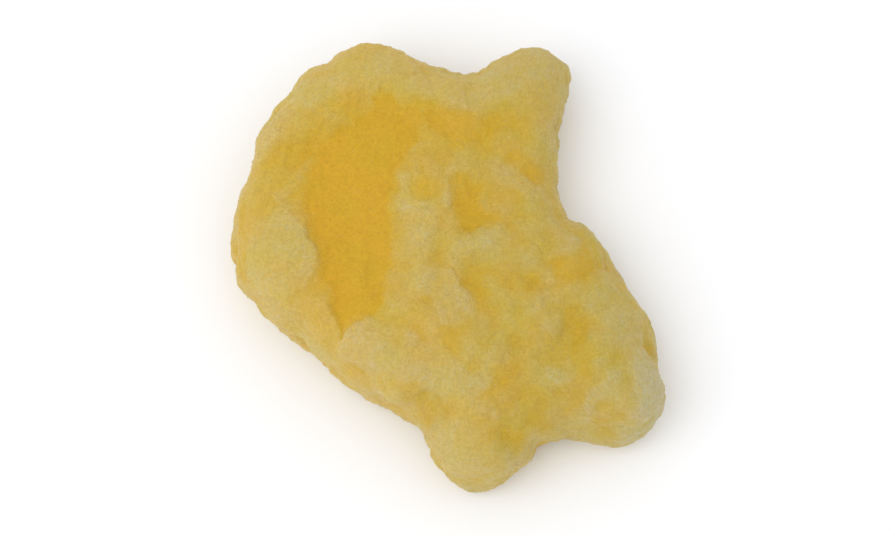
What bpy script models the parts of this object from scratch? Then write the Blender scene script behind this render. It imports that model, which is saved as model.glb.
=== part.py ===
"""One piece of dried, sugared pineapple, lying on its flatter cut side.

It is a thick, lobed chunk from the outer part of a slice of the fruit. The mesh is worked out in
millimetres and scaled to metres at the end. +Z is up, and the origin is on the surface that the piece
rests on, under the middle of its plan.
"""

import math
from typing import NamedTuple

import bmesh
import bpy
from mathutils import Vector, kdtree, noise
from mathutils.geometry import interpolate_bezier

MM = 0.001

# The slab that the forms below are added to, in mm
THICKNESS = 8.8
UPPER_SHARE = 0.54  # of the thickness lies above the rim's outermost line
ROUNDING = 3.1  # the rim is rounded over this width
RIM_POWER = 2.3  # how square the rim's section is: 2 is an ellipse
SLANT = 2.6  # on the slanted side the top's border lies this much further in
SLANT_BEARING = -25.0  # degrees from +X to the middle of the slanted side
CROWN = 0.9  # the middle of the top stands this much above its borders
ARCH = 0.8  # the middle of the underside stands this much above its borders
PLAN_RADIUS = 20.0  # the crown and the arch are full at the middle and gone this far out

# Squares along each side of the cube that the slab is drawn from
GRID = 30

# Rounds of evening out the squares in plan, which leave a band this high on the ball, of radius 1, as
# it is, and rounds of evening out all of them once the slab is raised
PLAN_ROUNDS = 3
RIM_BAND = 0.42
SLAB_ROUNDS = 4

# Points that the outline is drawn with, and those that the curve between two corners is measured by
OUTLINE_STEPS = 1440
STRETCH_STEPS = 24

# The plan, as points in mm at each lobe's tip and shoulders and at each notch between lobes,
# anticlockwise from the middle of the right side. A smooth closed curve runs through them.
OUTLINE = (
    (14.4, 0.5),
    (13.8, 2.8),
    (12.1, 3.6),
    (10.4, 4.1),
    (10.0, 6.7),
    (9.6, 9.2),
    (9.9, 12.2),
    (10.1, 15.4),
    (11.3, 17.6),
    (11.3, 19.6),
    (9.9, 21.0),
    (7.8, 21.6),
    (5.6, 21.1),
    (3.6, 19.4),
    (2.2, 18.1),
    (0.0, 18.7),
    (-2.2, 19.7),
    (-4.8, 21.4),
    (-7.2, 22.1),
    (-9.8, 21.3),
    (-12.9, 18.8),
    (-15.7, 15.8),
    (-17.4, 12.9),
    (-18.4, 9.0),
    (-19.9, 3.8),
    (-19.2, 0.3),
    (-18.3, -2.2),
    (-15.3, -5.6),
    (-13.5, -6.3),
    (-10.6, -10.2),
    (-7.8, -10.9),
    (-4.2, -13.8),
    (-1.9, -14.3),
    (-1.8, -17.1),
    (0.3, -19.9),
    (2.8, -20.7),
    (4.7, -20.4),
    (5.8, -18.9),
    (7.5, -16.8),
    (10.4, -15.4),
    (12.7, -15.8),
    (15.3, -16.4),
    (17.8, -16.0),
    (18.9, -13.5),
    (19.6, -10.9),
    (17.5, -8.4),
    (18.5, -6.0),
    (17.5, -3.4),
    (14.9, -1.8),
)


class Form(NamedTuple):
    """A raised or sunken form that follows a path in plan. Its height is under 0 if it is sunken."""

    path: tuple
    half_width: float
    height: float
    edge: float  # the share of the half width over which it rises: small for a crisp edge


TOP_FORMS = (
    # The pale roll along the upper border, and the lobe at its right end
    Form(
        ((-15.1, 11.0), (-11.6, 14.8), (-7.3, 16.8), (-2.0, 15.3), (2.4, 14.0), (7.3, 16.2)), 2.9, 0.55, 0.8
    ),
    Form(((8.0, 15.5), (8.9, 11.8)), 3.2, 0.5, 0.9),
    # The rolls along the left border and the lower left border
    Form(((-16.0, 10.8), (-17.4, 6.2)), 2.2, 0.4, 0.9),
    Form(((-16.0, -3.9), (-12.6, -6.1), (-8.8, -9.1), (-3.8, -12.3)), 2.1, 0.4, 0.9),
    # The round boss on the left
    Form(((-16.0, 1.0), (-15.5, -2.1)), 3.9, 0.6, 0.5),
    # The ridge down the middle, the short one beside it and the one that crosses below
    Form(((-1.7, 6.2), (-2.7, 1.5), (-3.6, -5.4)), 2.2, 0.5, 0.85),
    Form(((0.6, 5.4), (-0.3, 0.2)), 1.3, 0.4, 0.9),
    Form(((0.6, 0.2), (3.8, 1.0)), 1.6, 0.45, 0.9),
    # The flakes over the lower half, each a plate with a crisp edge
    Form(((-7.0, -7.5), (-2.5, -8.7), (2.4, -11.9)), 3.6, 0.5, 0.3),
    Form(((-0.8, -4.6), (-0.3, -5.9)), 2.9, 0.45, 0.3),
    Form(((5.5, -4.6), (8.0, -7.6)), 2.4, 0.4, 0.4),
    # The lobes on the right, at the lower right and at the bottom
    Form(((11.8, -0.9), (12.7, -3.5)), 3.0, 0.6, 0.8),
    Form(((14.3, -9.1), (16.2, -13.1)), 3.7, 0.8, 0.7),
    Form(((2.2, -16.1), (2.9, -18.1)), 3.7, 0.7, 0.8),
    Form(((8.7, -11.9), (9.0, -12.5)), 1.8, 0.4, 0.8),
    # Sunken, clear flesh: the long valley, its arm under the upper roll, and the hollow beside the ridge
    Form(((-12.0, 8.4), (-9.9, 3.4), (-8.1, -2.2), (-9.5, -5.9)), 4.4, -0.45, 0.9),
    Form(((-11.4, 10.1), (-4.6, 10.9), (2.4, 9.8), (6.0, 9.9)), 3.2, -0.25, 1.0),
    Form(((2.4, 4.7), (5.0, 2.8)), 2.9, -0.25, 0.9),
    # The creases that run in from the notches of the outline
    Form(((8.0, 6.7), (4.6, 7.9)), 2.2, -0.45, 1.0),
    Form(((11.0, 1.9), (9.2, -0.7)), 1.8, -0.4, 1.0),
    Form(((9.4, -13.7), (10.6, -7.9)), 2.2, -0.4, 1.0),
    Form(((-1.0, -13.9), (0.6, -13.1)), 1.8, -0.2, 1.0),
    Form(((2.2, 15.9), (3.0, 13.1)), 1.8, -0.2, 1.0),
)

UNDER_FORMS = (
    # Sunken flesh between the ribs, then the ribs themselves
    Form(((-12.0, 12.4), (-7.0, 6.6), (-4.0, 0.5)), 3.9, -1.1, 0.9),
    Form(((4.6, 13.0), (3.2, 6.1)), 3.0, -0.9, 0.9),
    Form(((-13.4, 1.0), (-9.6, -3.4)), 3.0, -0.8, 0.8),
    Form(((2.6, -5.3), (5.2, -11.2)), 3.3, -1.2, 0.8),
    Form(((11.0, -2.8), (14.0, -9.3)), 2.8, -0.8, 0.9),
    Form(((-2.2, 15.8), (0.2, 7.6), (1.6, 0.0)), 1.6, 0.7, 0.9),
    Form(((-15.0, 7.2), (-10.4, 1.5), (-3.2, -8.0)), 1.5, 0.7, 0.9),
    Form(((7.4, -0.6), (9.4, -7.6), (10.6, -12.4)), 1.6, 0.7, 0.9),
    Form(((7.4, 8.0), (4.0, 8.6)), 1.8, -0.6, 1.0),
    Form(((9.8, -14.6), (8.8, -11.6)), 1.9, -0.8, 1.0),
)

# Edges of the forms wander by this much, over lengths of this much, in mm
WANDER = 0.9
WANDER_LENGTH = 4.5

# Strands of the flesh fan out from the slice's core, which lay beyond the upper border
CORE = Vector((-8.0, 46.0))
FAN_RADIUS = 44.0  # their width is measured at this distance from the core
STRAND_WIDTH = 2.8
STRAND_LENGTH = 13.0
STRAND_HEIGHT = 0.2

# Lumps all over, and larger ones where the lower right half is mottled
LUMP_SIZE = 2.0
LUMP_HEIGHT = 0.2
MOTTLE_SIZE = 2.7
MOTTLE_HEIGHT = 0.34
MOTTLE_LINE = 6.0  # mm towards the lower right from the middle, where the mottling is full

# Folds round the side, where the piece shrank as it dried
FOLD_WIDTH = 3.4
FOLD_DEPTH = 0.9
FOLD_LEAN = 0.45  # 0 keeps the folds upright, and 1 lets them wander as much up as round
FOLD_MEAN = 0.45  # taken off, so that the folds leave the outline where it is

PRESSED = 0.4  # the lowest spots of the underside are pressed flat by this much

PALE_YELLOW = (0.83, 0.62, 0.16, 1.0)


def smooth_step(low, high, value):
    """0 below low, 1 above high, and a smooth rise between."""
    share = min(1.0, max(0.0, (value - low) / (high - low)))
    return share * share * (3 - 2 * share)


def distance_to(path, point):
    """The shortest distance in plan from a point to a path of straight stretches."""
    shortest = math.inf
    for start, end in zip(path, path[1:]):
        a, b = Vector(start), Vector(end)
        along = b - a
        share = min(1.0, max(0.0, (point - a).dot(along) / along.length_squared))
        shortest = min(shortest, (a + along * share - point).length)
    return shortest


def height_of(forms, plan):
    """The sum of the forms at a point of the plan, with edges that wander a little."""
    at = Vector((plan.x, plan.y, 0)) / WANDER_LENGTH
    moved = plan + WANDER * Vector((noise.noise(at), noise.noise(at + Vector((31, 17, 5)))))
    total = 0.0
    for form in forms:
        inside = 1 - distance_to(form.path, moved) / form.half_width
        total += form.height * smooth_step(0, form.edge, inside)
    return total


def strands(point):
    """Long, low ribs that fan out from the core."""
    away = Vector((point.x, point.y)) - CORE
    across = math.atan2(away.x, -away.y) * FAN_RADIUS / STRAND_WIDTH
    sample = Vector((away.length / STRAND_LENGTH, across, point.z / STRAND_WIDTH))
    return STRAND_HEIGHT * noise.noise(sample)


def lumps(point):
    """Small lumps all over, with larger ones over the lower right half."""
    small = noise.noise(point / LUMP_SIZE)
    large = noise.noise(point / MOTTLE_SIZE + Vector((3, 9, 4)))
    mottled = smooth_step(-MOTTLE_LINE, MOTTLE_LINE, (point.x - point.y) * math.sqrt(0.5))
    return LUMP_HEIGHT * small + MOTTLE_HEIGHT * large * mottled


def folds(point):
    """Upright folds round the side, each a soft swelling between two creases."""
    around = Vector((point.x, point.y, point.z * FOLD_LEAN)) / FOLD_WIDTH
    swelling = 2 * abs(noise.noise(around + Vector((0, 0, 8))))
    return FOLD_DEPTH * (swelling - FOLD_MEAN)


def relief(point, normal):
    """How far the surface stands out of the smooth slab, in mm."""
    plan = Vector((point.x, point.y))
    top = smooth_step(0.1, 0.75, normal.z)
    under = smooth_step(0.1, 0.75, -normal.z)
    side = 1 - top - under
    height = strands(point) + lumps(point)
    if top > 0:
        height += top * height_of(TOP_FORMS, plan)
    if under > 0:
        height += under * height_of(UNDER_FORMS, plan)
    return height + side * folds(point)


def outline_points():
    """Points at equal lengths along the smooth curve through OUTLINE, which closes on itself."""
    corners = [Vector((x, y, 0)) for x, y in OUTLINE]
    drawn = []
    for i, start in enumerate(corners):
        before, end, after = corners[i - 1], corners[(i + 1) % len(corners)], corners[(i + 2) % len(corners)]
        stretch = interpolate_bezier(
            start, start + (end - before) / 6, end - (after - start) / 6, end, STRETCH_STEPS + 1
        )
        drawn += stretch[:-1]
    drawn.append(corners[0])
    walked = [0.0]
    for start, end in zip(drawn, drawn[1:]):
        walked.append(walked[-1] + (end - start).length)
    points = []
    i = 0
    for step in range(OUTLINE_STEPS):
        target = walked[-1] * step / OUTLINE_STEPS
        while walked[i + 1] <= target:
            i += 1
        points.append(drawn[i].lerp(drawn[i + 1], (target - walked[i]) / (walked[i + 1] - walked[i])))
    return points


def spread_over_plan(mesh, outline):
    """Moves each vertex of the ball out over the plan, leaving its height, and evens out the squares."""
    for vertex in mesh.verts:
        place = math.atan2(vertex.co.y, vertex.co.x) / math.tau % 1.0 * OUTLINE_STEPS
        step = int(place)
        end = outline[(step + 1) % OUTLINE_STEPS]
        rim = outline[step % OUTLINE_STEPS].lerp(end, place - step)
        vertex.co.xy = rim.xy * vertex.co.xy.length
    inner = [v for v in mesh.verts if abs(v.co.z) > RIM_BAND]
    for _ in range(PLAN_ROUNDS):
        bmesh.ops.smooth_vert(mesh, verts=inner, factor=0.5, use_axis_x=True, use_axis_y=True)


def rounding_at(plan):
    """The width that the upper rim is rounded over, which is more on the slanted side."""
    turned = math.atan2(plan.y, plan.x) - math.radians(SLANT_BEARING)
    return ROUNDING + SLANT * max(0.0, math.cos(turned))


def raise_slab(mesh, outline):
    """Turns the spread ball into a slab with a rounded rim, a crowned top and an arched underside."""
    tree = kdtree.KDTree(OUTLINE_STEPS)
    for step, point in enumerate(outline):
        tree.insert(point, step)
    tree.balance()
    below = THICKNESS * (1 - UPPER_SHARE)
    for vertex in mesh.verts:
        plan = Vector((vertex.co.x, vertex.co.y, 0))
        inset = tree.find(plan)[2]
        above = vertex.co.z >= 0
        share = max(0.0, 1 - inset / (rounding_at(plan) if above else ROUNDING))
        rise = (1 - share**RIM_POWER) ** (1 / RIM_POWER)
        middle = max(0.0, 1 - (plan.length / PLAN_RADIUS) ** 2)
        if above:
            vertex.co.z = below + rise * (THICKNESS * UPPER_SHARE + CROWN * middle)
        else:
            vertex.co.z = below + rise * (ARCH * middle - below)
    for _ in range(SLAB_ROUNDS):
        bmesh.ops.smooth_vert(
            mesh, verts=mesh.verts, factor=0.5, use_axis_x=True, use_axis_y=True, use_axis_z=True
        )


def ball_of_squares():
    """A ball made from a cube whose faces are cut into even squares."""
    mesh = bmesh.new()
    bmesh.ops.create_cube(mesh, size=2)
    bmesh.ops.subdivide_edges(mesh, edges=mesh.edges[:], cuts=GRID - 1, use_grid_fill=True)
    for vertex in mesh.verts:
        vertex.co = Vector(math.tan(x * math.pi / 4) for x in vertex.co).normalized()
    return mesh


def stand_out(mesh):
    """Moves each vertex along its normal by the relief there."""
    mesh.normal_update()
    moved = [v.co + v.normal * relief(v.co, v.normal) for v in mesh.verts]
    for vertex, place in zip(mesh.verts, moved):
        vertex.co = place


def settle(mesh):
    """Presses the underside flat where it meets the surface, and puts the origin under the middle."""
    xs = [v.co.x for v in mesh.verts]
    ys = [v.co.y for v in mesh.verts]
    origin = Vector(((min(xs) + max(xs)) / 2, (min(ys) + max(ys)) / 2, PRESSED))
    for vertex in mesh.verts:
        vertex.co = (vertex.co - origin) * MM
        vertex.co.z = max(0.0, vertex.co.z)


def sugared_flesh():
    """Pale yellow, slightly glossy under a dull coat of sugar."""
    material = bpy.data.materials.new("sugared_flesh")
    material.use_nodes = True
    shader = material.node_tree.nodes["Principled BSDF"]
    shader.inputs["Base Color"].default_value = PALE_YELLOW
    shader.inputs["Roughness"].default_value = 0.55
    shader.inputs["Metallic"].default_value = 0.0
    return material


def main():
    for leftover in list(bpy.data.objects):
        bpy.data.objects.remove(leftover)
    mesh = ball_of_squares()
    outline = outline_points()
    spread_over_plan(mesh, outline)
    raise_slab(mesh, outline)
    stand_out(mesh)
    settle(mesh)
    data = bpy.data.meshes.new("dried_pineapple")
    mesh.to_mesh(data)
    mesh.free()
    data.shade_smooth()
    data.materials.append(sugared_flesh())
    piece = bpy.data.objects.new("dried_pineapple", data)
    bpy.context.scene.collection.objects.link(piece)


main()
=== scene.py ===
"""The looks of one piece of dried, sugared pineapple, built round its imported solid.

The solid's surface is redrawn as a fine mesh. Strands, lumps, crumbs and a crust of sugar are raised on it,
and each of its points gets a share of frost: none where the clear, amber flesh shows, and all of it where
the sugar lies thick. Loose crystals of sugar are strewn over it. Lengths named _MM are in millimetres, and
those named _M in metres.
"""

import math
import random
from typing import NamedTuple

import bmesh
import bpy
import numpy as np
from mathutils import Matrix, Vector, noise


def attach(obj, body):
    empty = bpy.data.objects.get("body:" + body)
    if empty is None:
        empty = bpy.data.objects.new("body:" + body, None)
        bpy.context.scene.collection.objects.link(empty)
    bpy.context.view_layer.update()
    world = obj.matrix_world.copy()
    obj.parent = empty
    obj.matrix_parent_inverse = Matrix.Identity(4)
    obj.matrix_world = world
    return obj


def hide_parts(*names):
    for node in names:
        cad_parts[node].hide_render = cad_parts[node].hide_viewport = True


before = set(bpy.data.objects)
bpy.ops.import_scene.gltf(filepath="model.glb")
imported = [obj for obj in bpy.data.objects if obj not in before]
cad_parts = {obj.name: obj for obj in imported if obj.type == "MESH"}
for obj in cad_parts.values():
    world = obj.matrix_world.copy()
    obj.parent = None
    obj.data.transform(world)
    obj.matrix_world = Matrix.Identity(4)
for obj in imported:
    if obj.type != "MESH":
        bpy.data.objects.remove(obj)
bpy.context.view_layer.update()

MM = 0.001
NODE = "dried_pineapple"

# The camera looks down on the piece from the front
ELEVATION = 70.0
AIM_MM = (0.3, -1.25, 4.9)
LENS_MM = 100.0
SENSOR_MM = 36.0
VIEW_WIDTH_MM = 82.25  # the width that the picture takes in, at the aim
CLIP_M = (0.01, 20.0)

# The fine mesh
WELD_MM = 0.001
ROUND_LEVELS = 1
VOXEL_MM = 0.42
SMOOTH_ROUNDS = 4
FINE_LEVELS = 1

# By the upward part of its normal, a spot is side below the first of these and top above the second
SIDE_UPWARD = (0.1, 0.8)

# Strands fan out from the core of the slice, which lay above the upper border
CORE_MM = (-8.0, 46.0)
FAN_RADIUS_MM = 44.0
STRAND_MM = (0.8, 6.0)  # across and along
STRAND_HEIGHT_MM = 0.06
STRANDS_AT_SIDES = 3.0  # how much stronger they are on the sides and below
STRANDS_HIDDEN = 0.5  # the share of their height that the thickest frost hides

# Lumps and grain all over, and crumbs where the frost lies thick, each as a size and a height
LUMPS_MM = ((1.7, 0.14), (0.8, 0.09))
CRUMB_MM = (0.55, 0.13)
GRAIN_MM = (0.4, 0.03)
CRUST_MM = 0.4  # the thickest frost stands this much above clear flesh

# Frost: its mean level, and how much it follows noise of these sizes, the strands and the raised spots
FROST_MEAN = 0.52
FROST_NOISE = ((4.5, 0.12), (1.9, 0.18), (0.9, 0.07))
FROST_ON_STRANDS = 0.07
FROST_ON_RISES = 0.8
RISE_ROUNDS = 40

# The sides have this much more frost, partly sugar and partly a painted highlight along the edges, and it
# follows noise of these sizes there
FROST_AND_HIGHLIGHT_ON_SIDES = 0.22
SIDE_NOISE = ((3.4, 0.34), (1.3, 0.18))

# Frost above this share counts only in part
THICK_FROST = 0.85
THICK_PART = 0.4

# By the upward part of its normal, a spot takes none of the patches' frost up to the first of these, and all
# of it from the second
PATCH_UPWARD = (0.1, 0.6)

# Edges of the patches of frost wander, over lengths of this much and by this much
WANDERS_MM = ((2.2, 0.7), (0.8, 0.25), (0.4, 0.15))

# The lower right half is mottled: noise of this size and strength, full this far out from the middle
MOTTLE_MM = 1.3
MOTTLE_STRENGTH = 0.22
MOTTLE_LINE_MM = 6.0

# Painted shade: the flesh turns darker and greyer towards the right, where less light falls, from one to the
# other place along X
SHADE_SPAN_MM = (-12.0, 16.0)

# Loose crystals of sugar, as skewed blocks
CRYSTALS = 14000
CRYSTAL_SEED = 7
CRYSTAL_MM = (0.05, 0.12)
CRYSTAL_SIDES = (0.6, 1.2)  # their sides, in shares of their size
CRYSTAL_SKEW = (0.75, 1.0)  # how far out their corners reach, in shares of an even block's
CRYSTAL_SINK = 0.1  # how far under the surface their middles lie, in shares of their size
CRYSTALS_ON_CLEAR = 0.02  # how often they lie on clear flesh, beside about 1 on the thickest frost
LEAST_WEIGHT = 0.05  # the least that a corner of a face counts in a crystal's place on it
BLOCK_FACES = ((0, 1, 3, 2), (4, 6, 7, 5), (0, 4, 5, 1), (2, 3, 7, 6), (0, 2, 6, 4), (1, 5, 7, 3))

# The flesh's colours by its share of frost, from clear amber to thick sugar, and what flesh under the painted
# shade on the right and ashen flesh keep of their red, green and blue
FLESH_COLOURS = (
    (0.0, (202, 159, 23)),
    (0.2, (202, 163, 41)),
    (0.45, (199, 166, 62)),
    (0.75, (200, 172, 86)),
    (0.9, (199, 174, 98)),
    (1.0, (198, 177, 112)),
)
# Painted shade on the right: what the flesh there keeps of its red, green and blue
SHADE_ON_RIGHT = (0.88, 0.93, 1.06, 1.0)
ASHEN = (0.98, 1.04, 1.42, 1.0)
TINTS = ((1.02, 0.985, 1.0, 1.0), (0.98, 1.01, 0.97, 1.0))  # slow drifts of colour, from one to the other

# The finish's noise, as its lumps to the metre and its detail, and its grains to the metre
CLOUDS = (2300.0, 3.0)
SHADES = (3400.0, 2.0)
DRIFTS = (240.0, 1.0)
PITS = (5200.0, 4.0)
GRAINS_PER_M = 4300.0

# What the noise, the grains and the frost come to: a range of their values, and the range that it becomes
FROST_BY_CLOUDS = (0.3, 0.7, -0.07, 0.07)
FROST_BY_GRAINS = (0.5, 1.0, -0.05, 0.16)
LIGHT_BY_GRAINS = (0.0, 1.0, 0.95, 1.0)
LIGHT_BY_SHADES = (0.3, 0.7, -0.02, 0.11)
TINT_BY_DRIFTS = (0.35, 0.65, 0.0, 1.0)
HEIGHT_BY_GRAINS = (0.0, 0.7, 0.8, 0.0)
ROUGHNESS_BY_FROST = (0.0, 1.0, 0.5, 0.85)

# The rest of the finish, by the shader's sockets
BUMP_STRENGTH = 0.8
BUMP_MM = 0.1
FLESH_FINISH = {
    "Subsurface Weight": 0.35,
    "Subsurface Radius": (1.0, 0.7, 0.25),
    "Subsurface Scale": 0.9 * MM,
    "Specular IOR Level": 0.3,
    "Sheen Weight": 0.12,
    "Sheen Roughness": 0.5,
}
SUGAR_COLOUR = (201, 174, 88)
SUGAR_FINISH = {"Roughness": 0.4}

# The floor, and the light from all round and from a lamp
FLOOR_WIDTH_M = 4.0
FLOOR_FINISH = {"Base Color": (0.955, 0.96, 0.98, 1.0), "Roughness": 0.9, "Specular IOR Level": 0.1}
SURROUND_COLOUR = (1.0, 1.0, 1.0, 1.0)
SURROUND_STRENGTH = 0.9
LAMP_PLACE_M = (-0.24, -0.14, 0.44)
LAMP_WIDTH_M = 0.42
LAMP_WATTS = 0.75


class Patch(NamedTuple):
    """A stretch of the plan, by a path in mm, and what it adds to the frost or to the ashen look there."""

    path: tuple
    half_width: float | tuple  # one for the whole path, or one for each of its points
    strength: float
    edge: float  # the share of the half width over which it comes in


PATCHES = (
    # Clear flesh: the long valley, from its top under the upper roll to its tip, and thin places beside it
    Patch(
        (
            (-5.2, 12.8), (-5.2, 11.0), (-6.8, 9.0), (-8.2, 6.5),
            (-8.7, 3.0), (-8.0, -2.5), (-7.7, -5.0), (-8.6, -8.8),
        ),
        (1.8, 3.2, 4.1, 4.6, 4.8, 3.8, 3.0, 0.8),
        -0.62,
        0.4,
    ),
    Patch(((-9.6, 11.8), (-12.0, 9.0), (-13.6, 5.5)), 3.6, -0.3, 1.0),
    Patch(((-15.0, 8.8), (-16.8, 4.6)), 1.5, -0.2, 0.9),
    Patch(((-16.8, 2.8), (-15.4, 3.4)), 1.2, -0.2, 0.9),
    # Clear flesh: the arm to the right of the valley, the crease at its end, and the hollow by the ridge
    Patch(((-3.5, 11.0), (-2.0, 12.5)), 2.5, -0.35, 0.7),
    Patch(((0.5, 11.0), (3.5, 10.5)), 2.3, -0.32, 0.7),
    Patch(((5.0, 12.0), (8.0, 10.0)), 2.4, -0.22, 1.0),
    Patch(((6.5, 8.0), (8.5, 6.5)), 1.1, -0.3, 0.7),
    Patch(((1.5, 5.0), (2.5, 2.5)), 1.8, -0.42, 0.5),
    Patch(((-1.7, 6.5), (-1.7, 3.8)), 1.0, -0.26, 0.8),
    Patch(((2.5, 2.0), (4.5, 1.8)), 1.2, -0.3, 0.8),
    Patch(((3.5, 4.5), (6.5, 3.5)), 1.7, -0.18, 0.9),
    # Clear spots between the flakes
    Patch(((2.5, -3.5), (2.8, -6.5)), 1.2, -0.28, 0.7),
    Patch(((5.0, -4.0), (7.5, -4.5)), 1.3, -0.26, 0.7),
    Patch(((0.0, -9.4), (2.2, -8.6)), 1.2, -0.18, 0.8),
    Patch(((5.5, -13.0), (8.0, -15.0)), 1.6, -0.14, 0.8),
    Patch(((-6.0, -13.0), (-5.5, -14.5)), 0.9, -0.24, 0.8),
    Patch(((6.5, -9.5), (7.5, -10.0)), 0.9, -0.2, 0.8),
    # Clear spots on the lobes and below the boss
    Patch(((11.5, -2.5), (13.8, -1.2)), 2.1, -0.45, 0.5),
    Patch(((11.8, -7.0), (12.6, -12.0)), 1.2, -0.32, 0.7),
    Patch(((8.5, -16.5), (9.5, -17.5)), 1.4, -0.3, 0.8),
    Patch(((5.0, -18.0), (7.0, -19.0)), 1.6, -0.24, 0.8),
    Patch(((18.0, -9.5), (18.5, -11.0)), 0.9, -0.3, 0.8),
    Patch(((-18.8, 2.5), (-18.9, -3.0)), 1.8, -0.3, 0.9),
    Patch(((-17.0, -4.5), (-16.0, -5.5)), 1.1, -0.36, 0.7),
    Patch(((-14.0, -5.0), (-11.5, -4.5)), 1.2, -0.16, 0.8),
    # Frost on the upper roll and down the left border
    Patch(
        ((-13.0, 14.5), (-9.0, 16.5), (-6.0, 17.5), (-3.5, 17.0), (1.0, 14.0), (3.5, 14.5), (8.5, 17.5)),
        2.3,
        0.2,
        0.5,
    ),
    Patch(((0.0, 14.0), (2.5, 13.5)), 1.4, 0.08, 0.8),
    Patch(((4.5, 16.5), (7.5, 18.0)), 1.4, 0.1, 0.8),
    Patch(((-17.2, 8.0), (-15.4, 12.0)), 1.4, 0.14, 0.7),
    Patch(((-14.8, 4.2), (-12.2, 8.0)), 0.9, 0.3, 0.8),
    Patch(((-10.6, 12.4), (-8.0, 11.0)), 1.1, 0.22, 1.0),
    # Frost on the boss, with a thicker crescent along its right side
    Patch(((-14.9, -0.8), (-14.7, -2.4)), 3.2, 0.24, 0.15),
    Patch(((-12.8, 0.6), (-12.4, -1.4), (-12.8, -3.4)), 0.8, 0.12, 0.7),
    Patch(((-17.0, -1.5), (-16.5, -3.0)), 1.1, 0.1, 0.7),
    # Frost on the ridge and its two horns, on the bars beside it and on the plate under it
    Patch(((-2.5, 2.4), (-2.0, -0.2)), 1.8, 0.22, 0.5),
    Patch(((-2.5, 0.0), (-3.0, -5.0)), 1.9, 0.13, 0.6),
    Patch(((-3.7, 6.0), (-3.5, 3.0)), 0.8, 0.26, 0.6),
    Patch(((0.6, 6.5), (0.0, 3.2)), 0.9, 0.26, 0.6),
    Patch(((0.8, -1.6), (3.8, 0.2)), 1.2, 0.24, 0.6),
    Patch(((-0.2, -4.8), (1.0, -6.8)), 2.1, 0.38, 0.3),
    Patch(((4.5, 7.5), (8.0, 4.5)), 1.1, 0.22, 0.6),
    Patch(((8.0, -2.0), (11.0, 0.0)), 1.9, 0.24, 0.8),
    Patch(((9.2, -4.0), (9.6, -5.5)), 1.1, 0.22, 0.7),
    # Frost on the flakes of the lower half
    Patch(((-7.4, -8.6), (-4.6, -10.6), (-0.8, -12.2), (2.4, -14.0)), (1.8, 2.3, 2.2, 1.7), 0.3, 0.35),
    Patch(((-8.6, -9.6), (-7.4, -11.0), (-5.2, -12.4)), 0.9, 0.16, 0.8),
    Patch(((-4.6, -11.6), (-2.0, -12.8), (1.2, -13.8)), 0.9, 0.12, 0.8),
    Patch(((2.4, -15.0), (3.6, -12.8)), 1.3, 0.14, 0.6),
    Patch(((5.5, -9.5), (4.5, -11.5)), 1.3, 0.18, 0.7),
    Patch(((9.6, -12.2), (10.4, -13.0)), 0.9, 0.24, 0.6),
    # Frost on the lobes at the right, the lower right and the bottom
    Patch(((14.0, -6.0), (16.0, -8.0), (17.0, -10.5)), 2.0, 0.24, 0.6),
    Patch(((13.3, -15.2), (15.0, -13.4)), 0.9, 0.36, 0.7),
    Patch(((18.2, -12.5), (19.0, -15.0), (17.6, -18.6)), 2.9, 1.0, 0.9),
    Patch(((13.2, -17.0), (16.2, -17.6)), 1.9, 0.24, 0.8),
    Patch(((13.0, -19.2), (16.0, -19.6)), 1.6, 0.34, 0.8),
    Patch(((0.0, -18.0), (1.5, -20.0)), 1.9, 0.22, 0.6),
    Patch(((2.5, -22.0), (4.0, -22.5)), 1.3, 0.2, 0.8),
)

# The ashen border of the lower right lobe
ASHEN_PATCH = Patch(((18.9, -13.2), (19.2, -15.2), (17.4, -18.4), (14.4, -19.8)), 3.0, 1.0, 0.9)


def smooth_step(low, high, values):
    """0 below low, 1 above high, and a smooth rise between."""
    share = np.clip((values - low) / (high - low), 0, 1)
    return share * share * (3 - 2 * share)


def strength_at(plan, patch):
    """What a patch adds at each point of the plan: its strength inside it, 0 outside, and a soft edge."""
    widths = np.broadcast_to(patch.half_width, len(patch.path))
    depth = np.zeros(len(plan))  # from 0 at the patch's outline to 1 on its path
    for start, end, first, last in zip(patch.path, patch.path[1:], widths, widths[1:]):
        along = np.subtract(end, start)
        share = np.clip((plan - start) @ along / (along @ along), 0, 1)
        away = np.hypot(*(plan - start - share[:, None] * along).T)
        depth = np.maximum(depth, 1 - away / (first + (last - first) * share))
    return patch.strength * smooth_step(0, patch.edge, depth)


def noise_at(places, size, shift):
    """Smooth noise from -1 to 1 at each place, in lumps of this size. Its shift sets it apart from others."""
    return np.array([noise.noise(Vector(place)) for place in places / size + shift])


def new_object(name, data):
    """An object with this data, linked to the scene."""
    thing = bpy.data.objects.new(name, data)
    bpy.context.scene.collection.objects.link(thing)
    return thing


def aim_camera():
    """The camera, at the photograph's viewing angle."""
    data = bpy.data.cameras.new("camera")
    data.lens = LENS_MM
    data.sensor_width = SENSOR_MM
    data.clip_start, data.clip_end = CLIP_M
    camera = new_object("camera", data)
    tilt = math.radians(ELEVATION)
    back = Vector((0, -math.cos(tilt), math.sin(tilt)))
    camera.location = (Vector(AIM_MM) + back * VIEW_WIDTH_MM * LENS_MM / SENSOR_MM) * MM
    camera.rotation_mode = "QUATERNION"
    camera.rotation_quaternion = (-back).to_track_quat("-Z", "Y")
    bpy.context.scene.camera = camera


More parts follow.
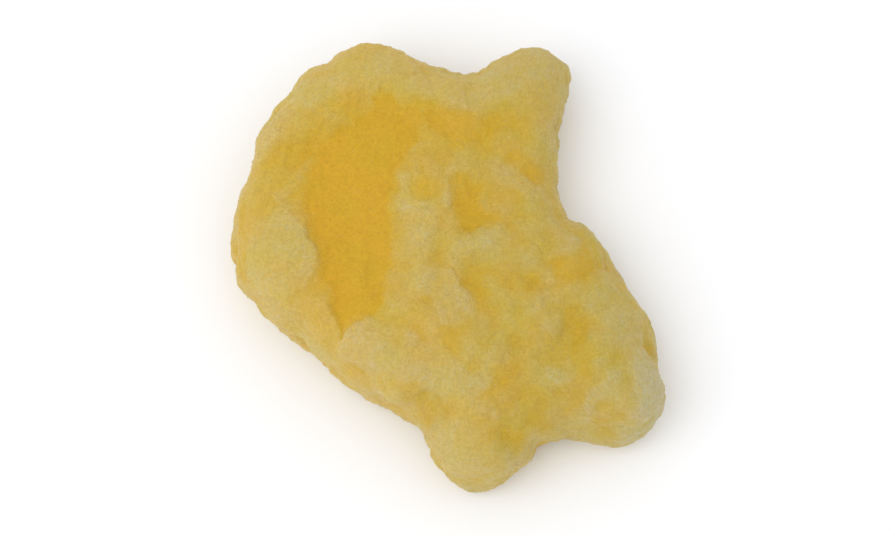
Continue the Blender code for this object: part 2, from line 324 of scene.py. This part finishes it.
def fine_object():
    """A copy of the solid with an even, fine mesh, its facets rounded off."""
    mesh = bmesh.new()
    mesh.from_mesh(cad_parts[NODE].data)
    bmesh.ops.remove_doubles(mesh, verts=mesh.verts, dist=WELD_MM * MM)
    data = bpy.data.meshes.new("sugared_piece")
    mesh.to_mesh(data)
    mesh.free()
    piece = new_object("sugared_piece", data)
    rounded = piece.modifiers.new("rounded", "SUBSURF")
    rounded.levels = rounded.render_levels = ROUND_LEVELS
    evened = piece.modifiers.new("evened", "REMESH")
    evened.mode = "VOXEL"
    evened.voxel_size = VOXEL_MM * MM
    smoothed = piece.modifiers.new("smoothed", "SMOOTH")
    smoothed.iterations = SMOOTH_ROUNDS
    fine = piece.modifiers.new("fine", "SUBSURF")
    fine.levels = fine.render_levels = FINE_LEVELS
    shape = piece.evaluated_get(bpy.context.evaluated_depsgraph_get())
    piece.data = bpy.data.meshes.new_from_object(shape)
    piece.modifiers.clear()
    bpy.data.meshes.remove(data)
    piece.data.materials.clear()
    piece.data.shade_smooth()
    return piece


def smooth_places(data, places):
    """Where the vertices lie once each has moved to its neighbours' mean, for RISE_ROUNDS rounds."""
    ends = np.empty(len(data.edges) * 2, int)
    data.edges.foreach_get("vertices", ends)
    a, b = ends.reshape(-1, 2).T
    count = np.bincount(a, minlength=len(places)) + np.bincount(b, minlength=len(places))
    smooth = places.copy()
    for _ in range(RISE_ROUNDS):
        total = np.zeros_like(smooth)
        np.add.at(total, a, smooth[b])
        np.add.at(total, b, smooth[a])
        smooth = total / count[:, None]
    return smooth


def strands_at(places):
    """Noise from -1 to 1 that is drawn out along the strands."""
    away = places[:, :2] - CORE_MM
    along = np.hypot(*away.T)
    across = np.arctan2(away[:, 0], -away[:, 1]) * FAN_RADIUS_MM
    strands = np.stack([across / STRAND_MM[0], along / STRAND_MM[1], places[:, 2] / STRAND_MM[0]], 1)
    return noise_at(strands, 1, (0, 0, 0))


def frost_over(places, upward, side, rise, strands):
    """The share of frost at each place, from 0 to 1."""
    # The sides' extra frost is partly a painted highlight along the edges
    frost = FROST_MEAN + FROST_ON_RISES * rise + FROST_AND_HIGHLIGHT_ON_SIDES * side + FROST_ON_STRANDS * strands
    for size, strength in FROST_NOISE:
        frost += strength * noise_at(places, size, (size, 2, 5))
    for size, strength in SIDE_NOISE:
        frost += strength * side * noise_at(places, size, (3, size, 7))
    outward = (places[:, 0] - places[:, 1]) * math.sqrt(0.5)
    mottled = smooth_step(-MOTTLE_LINE_MM, MOTTLE_LINE_MM, outward)
    frost += MOTTLE_STRENGTH * mottled * noise_at(places, MOTTLE_MM, (8, 8, 3))
    plan = places[:, :2].copy()
    for length, reach in WANDERS_MM:
        plan += reach * np.stack([noise_at(places, length, (length, shift, 0)) for shift in (11, 23)], 1)
    top = smooth_step(*PATCH_UPWARD, upward)
    for patch in PATCHES:
        frost += top * strength_at(plan, patch)
    frost = np.where(frost > THICK_FROST, THICK_FROST + THICK_PART * (frost - THICK_FROST), frost)
    return np.clip(frost, 0, 1)


def relief_over(places, strands, frost):
    """How far the fine relief stands out at each place, in mm."""
    relief = STRAND_HEIGHT_MM * strands * (1 - STRANDS_HIDDEN * frost)
    for size, height in LUMPS_MM:
        relief += height * noise_at(places, size, (7, 3, 1))
    crumbs = np.maximum(0, noise_at(places, CRUMB_MM[0], (1, 8, 2)))
    grain = noise_at(places, GRAIN_MM[0], (4, 4, 9))
    return relief + frost * (CRUST_MM + CRUMB_MM[1] * crumbs) + GRAIN_MM[1] * grain


def raise_relief(piece):
    """Raises the fine relief on the piece and stores how frosted and how ashen each vertex is, and how much
    painted shade it takes.
    """
    data = piece.data
    count = len(data.vertices)
    places, normals = np.empty(count * 3), np.empty(count * 3)
    data.vertices.foreach_get("co", places)
    data.vertices.foreach_get("normal", normals)
    places, normals = places.reshape(-1, 3) / MM, normals.reshape(-1, 3)
    upward = normals[:, 2]
    side = 1 - smooth_step(*SIDE_UPWARD, upward)
    rise = ((places - smooth_places(data, places)) * normals).sum(1)
    strands = strands_at(places) * (1 + (STRANDS_AT_SIDES - 1) * side)
    frost = frost_over(places, upward, side, rise, strands)
    places += normals * relief_over(places, strands, frost)[:, None]
    places[:, 2] = np.maximum(places[:, 2], 0)  # nothing reaches below the floor
    data.vertices.foreach_set("co", (places * MM).ravel())
    # Painted shade, from none on the left to full on the right
    painted_shade = smooth_step(*SHADE_SPAN_MM, places[:, 0])
    ashen = strength_at(places[:, :2], ASHEN_PATCH)
    for name, values in (("frost", frost), ("painted_shade", painted_shade), ("ashen", ashen)):
        data.attributes.new(name, "FLOAT", "POINT").data.foreach_set("value", values)
    data.update()
    return frost


def crystal_corners(rng, size):
    """The corners of one crystal, a slightly skewed block that points any way."""
    sides = [size * rng.uniform(*CRYSTAL_SIDES) / 2 for _ in range(3)]
    turn = Vector([rng.gauss(0, 1) for _ in range(3)]).to_track_quat("Z", "Y").to_matrix()
    turn = turn @ Matrix.Rotation(rng.uniform(0, math.tau), 3, "Z")
    corners = []
    for x in (-1, 1):
        for y in (-1, 1):
            for z in (-1, 1):
                skewed = [c * s * rng.uniform(*CRYSTAL_SKEW) for c, s in zip((x, y, z), sides)]
                corners.append(turn @ Vector(skewed))
    return corners


def strew_crystals(piece, frost):
    """Loose crystals, about half sunk into the surface, most of them where the frost is thick."""
    rng = random.Random(CRYSTAL_SEED)
    faces = list(piece.data.polygons)
    weights = []
    for face in faces:
        frosted = sum(frost[v] for v in face.vertices) / len(face.vertices)
        weights.append(face.area * (CRYSTALS_ON_CLEAR + frosted**2))
    verts, quads = [], []
    for face in rng.choices(faces, weights=weights, k=CRYSTALS):
        corners = [piece.data.vertices[v].co for v in face.vertices]
        shares = [rng.random() + LEAST_WEIGHT for _ in corners]
        place = sum((c * s for c, s in zip(corners, shares)), Vector()) / sum(shares)
        size = rng.uniform(*CRYSTAL_MM) * MM
        place -= face.normal * size * CRYSTAL_SINK
        if place.z < size:
            continue
        start = len(verts)
        verts += [place + corner for corner in crystal_corners(rng, size)]
        quads += [tuple(start + k for k in quad) for quad in BLOCK_FACES]
    data = bpy.data.meshes.new("sugar_crystals")
    data.from_pydata(verts, [], quads)
    return new_object("sugar_crystals", data)


def new_material(name, finish):
    """A material and its Principled shader, whose sockets have this finish."""
    material = bpy.data.materials.new(name)
    material.use_nodes = True
    shader = material.node_tree.nodes["Principled BSDF"]
    for socket, value in finish.items():
        shader.inputs[socket].default_value = value
    return material, shader


def linear(red, green, blue):
    """A colour from 0 to 255, as a screen shows it, made linear by the sRGB standard's curve."""
    return tuple(
        c / 255 / 12.92 if c < 11 else ((c / 255 + 0.055) / 1.055) ** 2.4 for c in (red, green, blue)
    ) + (1.0,)


def sugared_flesh():
    """Clear amber flesh, paler and rougher as its share of frost grows, with fine grains in the frost."""
    material, shader = new_material("sugared_flesh", FLESH_FINISH)
    nodes, links = material.node_tree.nodes, material.node_tree.links
    place = nodes.new("ShaderNodeTexCoord").outputs["Object"]

    def stored(name):
        """What raise_relief stored on the vertices under this name."""
        attribute = nodes.new("ShaderNodeAttribute")
        attribute.attribute_name = name
        return attribute.outputs["Fac"]

    def speckle(per_m, detail):
        """Noise from 0 to 1, with this many lumps to the metre."""
        texture = nodes.new("ShaderNodeTexNoise")
        texture.inputs["Scale"].default_value = per_m
        texture.inputs["Detail"].default_value = detail
        links.new(place, texture.inputs["Vector"])
        return texture.outputs["Fac"]

    def ranged(value, low, high, to_low, to_high):
        """The value, brought from its range to the other one and cut off at that one's ends."""
        box = nodes.new("ShaderNodeMapRange")
        for name, number in zip(("From Min", "From Max", "To Min", "To Max"), (low, high, to_low, to_high)):
            box.inputs[name].default_value = number
        links.new(value, box.inputs["Value"])
        return box.outputs["Result"]

    def combined(operation, a, b):
        """Two values, added or multiplied."""
        box = nodes.new("ShaderNodeMath")
        box.operation = operation
        links.new(a, box.inputs[0])
        links.new(b, box.inputs[1])
        return box.outputs["Value"]

    frost = stored("frost")
    grains = nodes.new("ShaderNodeTexVoronoi")
    grains.inputs["Scale"].default_value = GRAINS_PER_M
    links.new(place, grains.inputs["Vector"])
    tone = grains.outputs["Color"]
    pale_grains = combined("MULTIPLY", frost, ranged(tone, *FROST_BY_GRAINS))
    cloudy = combined("ADD", frost, ranged(speckle(*CLOUDS), *FROST_BY_CLOUDS))
    ramp = nodes.new("ShaderNodeValToRGB")
    stops = ramp.color_ramp
    stops.elements[0].color = linear(*FLESH_COLOURS[0][1])
    stops.elements[1].color = linear(*FLESH_COLOURS[-1][1])
    for position, colour in FLESH_COLOURS[1:-1]:
        stops.elements.new(position).color = linear(*colour)
    links.new(combined("ADD", cloudy, pale_grains), ramp.inputs["Fac"])
    shaded = ramp
    # The painted shade on the right, then the ashen border, tone the colour
    for name, colour in (("painted_shade", SHADE_ON_RIGHT), ("ashen", ASHEN)):
        toned = nodes.new("ShaderNodeMixRGB")
        toned.blend_type = "MULTIPLY"
        toned.inputs["Color2"].default_value = colour
        links.new(stored(name), toned.inputs["Fac"])
        links.new(shaded.outputs["Color"], toned.inputs["Color1"])
        shaded = toned
    tinted = nodes.new("ShaderNodeMixRGB")
    tinted.inputs["Color1"].default_value, tinted.inputs["Color2"].default_value = TINTS
    links.new(ranged(speckle(*DRIFTS), *TINT_BY_DRIFTS), tinted.inputs["Fac"])
    light = combined("ADD", ranged(tone, *LIGHT_BY_GRAINS), ranged(speckle(*SHADES), *LIGHT_BY_SHADES))
    for factor in (tinted.outputs["Color"], light):
        grainy = nodes.new("ShaderNodeMixRGB")
        grainy.blend_type = "MULTIPLY"
        grainy.inputs["Fac"].default_value = 1
        links.new(shaded.outputs["Color"], grainy.inputs["Color1"])
        links.new(factor, grainy.inputs["Color2"])
        shaded = grainy
    links.new(shaded.outputs["Color"], shader.inputs["Base Color"])
    links.new(ranged(frost, *ROUGHNESS_BY_FROST), shader.inputs["Roughness"])
    bump = nodes.new("ShaderNodeBump")
    bump.inputs["Strength"].default_value = BUMP_STRENGTH
    bump.inputs["Distance"].default_value = BUMP_MM * MM
    heaped = combined("MULTIPLY", frost, ranged(grains.outputs["Distance"], *HEIGHT_BY_GRAINS))
    links.new(combined("ADD", heaped, speckle(*PITS)), bump.inputs["Height"])
    links.new(bump.outputs["Normal"], shader.inputs["Normal"])
    return material


def crystal_sugar():
    """Pale, faintly yellow crystals."""
    material, shader = new_material("crystal_sugar", SUGAR_FINISH)
    shader.inputs["Base Color"].default_value = linear(*SUGAR_COLOUR)
    return material


def lay_floor():
    """The plain pale floor."""
    mesh = bmesh.new()
    bmesh.ops.create_grid(mesh, x_segments=1, y_segments=1, size=FLOOR_WIDTH_M / 2)
    data = bpy.data.meshes.new("floor")
    mesh.to_mesh(data)
    mesh.free()
    data.materials.append(new_material("floor", FLOOR_FINISH)[0])
    new_object("floor", data)


def light_softly():
    """A white surround, and one large, soft lamp above the piece, in front of it on the left."""
    world = bpy.data.worlds.new("surround")
    world.use_nodes = True
    surround = world.node_tree.nodes["Background"]
    surround.inputs["Color"].default_value = SURROUND_COLOUR
    surround.inputs["Strength"].default_value = SURROUND_STRENGTH
    bpy.context.scene.world = world
    data = bpy.data.lights.new("key", "AREA")
    data.shape = "DISK"
    data.size = LAMP_WIDTH_M
    data.energy = LAMP_WATTS
    lamp = new_object("key", data)
    lamp.location = LAMP_PLACE_M
    lamp.rotation_euler = (-lamp.location).to_track_quat("-Z", "Y").to_euler()
    bpy.context.scene.view_settings.view_transform = "Standard"


aim_camera()
piece = fine_object()
frost = raise_relief(piece)
piece.data.materials.append(sugared_flesh())
crystals = strew_crystals(piece, frost)
crystals.data.materials.append(crystal_sugar())
for part in (piece, crystals):
    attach(part, "root")
    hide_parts(NODE)
lay_floor()
light_softly()
